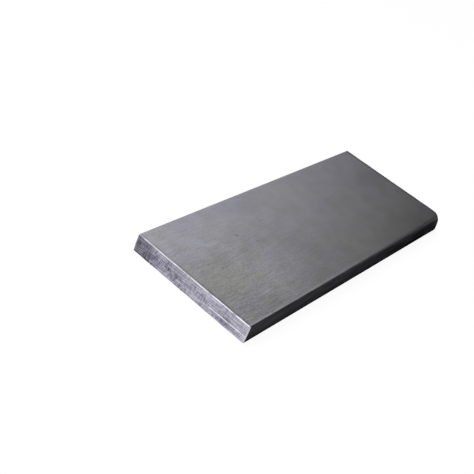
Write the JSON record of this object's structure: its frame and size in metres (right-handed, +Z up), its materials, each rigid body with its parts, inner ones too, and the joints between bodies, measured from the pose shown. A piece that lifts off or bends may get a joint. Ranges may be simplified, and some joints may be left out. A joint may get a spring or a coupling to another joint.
{
  "type": "steel plate",
  "caption": "Flat rectangular plate of rolled steel bar, sawn to length, with a saw lip on an end and a blunted corner.",
  "frame": {"origin": "middle of the underside", "axes": "+X along the length, away from the end with the saw lip; +Y across the width, towards the edge opposite the blunted corner; +Z up through the thickness"},
  "size_m": [0.3, 0.12, 0.016],
  "materials": {
    "steel": "matt rolled grey faces with fine grain along the length, dark rolled edges and bright sawn ends"
  },
  "bodies": {
    "root": {"plate": "steel"}
  },
  "joints": []
}
